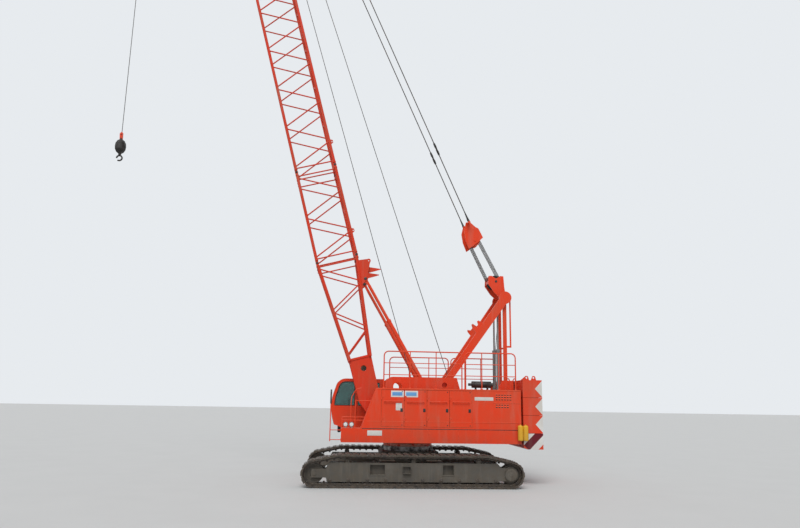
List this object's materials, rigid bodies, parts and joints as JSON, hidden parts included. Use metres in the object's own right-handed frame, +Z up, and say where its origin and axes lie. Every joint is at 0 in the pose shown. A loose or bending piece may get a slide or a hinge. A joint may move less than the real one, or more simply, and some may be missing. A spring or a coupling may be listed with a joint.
{
  "type": "crawler crane",
  "caption": "Lattice-boom crawler crane on two tracks, with slewing upper works, a luffing boom held by pendants and a ball hook on a single line.",
  "frame": {"origin": "on the ground, under the slewing axis", "axes": "+X forward, the way the boom points; +Y to the machine's left; +Z up"},
  "size_m": [15.0614, 4.7, 36.8188],
  "materials": {
    "red_paint": "glossy, dusty",
    "boom_paint": "satin, weathered",
    "counterweight_paint": "satin, with white marks",
    "muddy_frame": "matt, dried mud",
    "track_steel": "worn bare steel and mud",
    "machined_steel": "greased",
    "dark_castings": "greasy",
    "grey_cylinders": "dull grey",
    "lamp_housings": "satin",
    "canister_paint": "satin",
    "wire_rope": "greased wire rope",
    "cab_glazing": "clear, faintly grey",
    "seat_cloth": "black cloth"
  },
  "bodies": {
    "undercarriage": {"carbody": "muddy_frame", "slew_ring": "machined_steel", "side_frame_left": "muddy_frame", "side_frame_right": "muddy_frame", "track_left": "track_steel", "track_right": "track_steel", "idlers": "muddy_frame", "drive_wheels": "muddy_frame", "rollers": "track_steel"},
    "upper": {"revolving_frame": "red_paint", "house_left": "red_paint", "house_right": "red_paint", "engine": "dark_castings", "winch_frame": "red_paint", "winch_drums": "machined_steel", "counterweight_base": "counterweight_paint", "counterweight_slab_1": "counterweight_paint", "counterweight_slab_2": "counterweight_paint", "counterweight_slab_3": "counterweight_paint", "a_frame_front": "red_paint", "a_frame_rear": "red_paint", "a_frame_cylinders": "grey_cylinders", "a_frame_sheaves": "dark_castings", "handrails": "red_paint", "work_lamps": "lamp_housings", "mirror_post": "dark_castings", "exhaust": "dark_castings", "canister": "canister_paint", "cab_shell": "red_paint", "cab_glass": "cab_glazing", "cab_seat": "seat_cloth"},
    "cab_door": {"cab_door": "red_paint"},
    "door_left_1": {"door_left_1": "red_paint"},
    "door_left_2": {"door_left_2": "red_paint"},
    "door_left_3": {"door_left_3": "red_paint"},
    "door_left_4": {"door_left_4": "red_paint"},
    "door_right_1": {"door_right_1": "red_paint"},
    "door_right_2": {"door_right_2": "red_paint"},
    "backstop_tubes": {"backstop_tubes": "red_paint"},
    "backstop_rods": {"backstop_rods": "red_paint"},
    "boom": {"boom_base": "boom_paint", "boom_insert_short": "boom_paint", "boom_insert_1": "boom_paint", "boom_insert_2": "boom_paint", "boom_tip": "boom_paint", "boom_sheaves": "dark_castings", "pendants": "wire_rope", "bridle": "red_paint"},
    "hoist_line": {"hoist_rope": "wire_rope"},
    "hook": {"hook_ball": "dark_castings"}
  },
  "joints": [
    {"name": "slew", "type": "hinge", "parent": "undercarriage", "child": "upper", "pos_m": [0, 0, 1.15], "axis": [0, 0, 1], "continuous": true},
    {"name": "boom_luff", "type": "hinge", "parent": "upper", "child": "boom", "pos_m": [1.2, 0, 2.1], "axis": [0, 1, 0], "range_deg": [-4.8, 45.2]},
    {"name": "hook_swing", "type": "hinge", "parent": "boom", "child": "hoist_line", "pos_m": [10.29387, 0, 36.51891], "axis": [0, 1, 0], "range_deg": [-46, 5.5]},
    {"name": "hook_hoist", "type": "slide", "parent": "hoist_line", "child": "hook", "axis": [0, 0, 1], "range_m": [-10.7, 22], "deforming": ["hoist_rope"]},
    {"name": "backstop_tilt", "type": "hinge", "parent": "upper", "child": "backstop_tubes", "pos_m": [-0.45, 0, 3.25], "axis": [0, 1, 0], "range_deg": [-5, 42]},
    {"name": "backstop_stroke", "type": "slide", "parent": "backstop_tubes", "child": "backstop_rods", "axis": [0.5012, 0, 0.8653], "range_m": [-0.17, 1.53]},
    {"name": "cab_door_swing", "type": "hinge", "parent": "upper", "child": "cab_door", "pos_m": [1.748, -1.714, 2.4], "axis": [0, 0, 1], "range_deg": [0, 95]},
    {"name": "door_left_1_swing", "type": "hinge", "parent": "upper", "child": "door_left_1", "pos_m": [0.998, 1.614, 2.4], "axis": [0, 0, -1], "range_deg": [0, 95]},
    {"name": "door_left_2_swing", "type": "hinge", "parent": "upper", "child": "door_left_2", "pos_m": [0.256, 1.614, 2.4], "axis": [0, 0, -1], "range_deg": [0, 95]},
    {"name": "door_left_3_swing", "type": "hinge", "parent": "upper", "child": "door_left_3", "pos_m": [-0.486, 1.614, 2.4], "axis": [0, 0, -1], "range_deg": [0, 95]},
    {"name": "door_left_4_swing", "type": "hinge", "parent": "upper", "child": "door_left_4", "pos_m": [-1.228, 1.614, 2.4], "axis": [0, 0, -1], "range_deg": [0, 95]},
    {"name": "door_right_1_swing", "type": "hinge", "parent": "upper", "child": "door_right_1", "pos_m": [-0.486, -1.614, 2.4], "axis": [0, 0, 1], "range_deg": [0, 95]},
    {"name": "door_right_2_swing", "type": "hinge", "parent": "upper", "child": "door_right_2", "pos_m": [-1.228, -1.614, 2.4], "axis": [0, 0, 1], "range_deg": [0, 95]}
  ],
  "couplings": [
    {"joint": "hook_swing", "follows": "boom_luff", "ratio": -1},
    {"joint": "backstop_tilt", "follows": "boom_luff", "ratio": 0.9},
    {"joint": "backstop_stroke", "follows": "boom_luff", "m_per_rad": 1.9079}
  ]
}
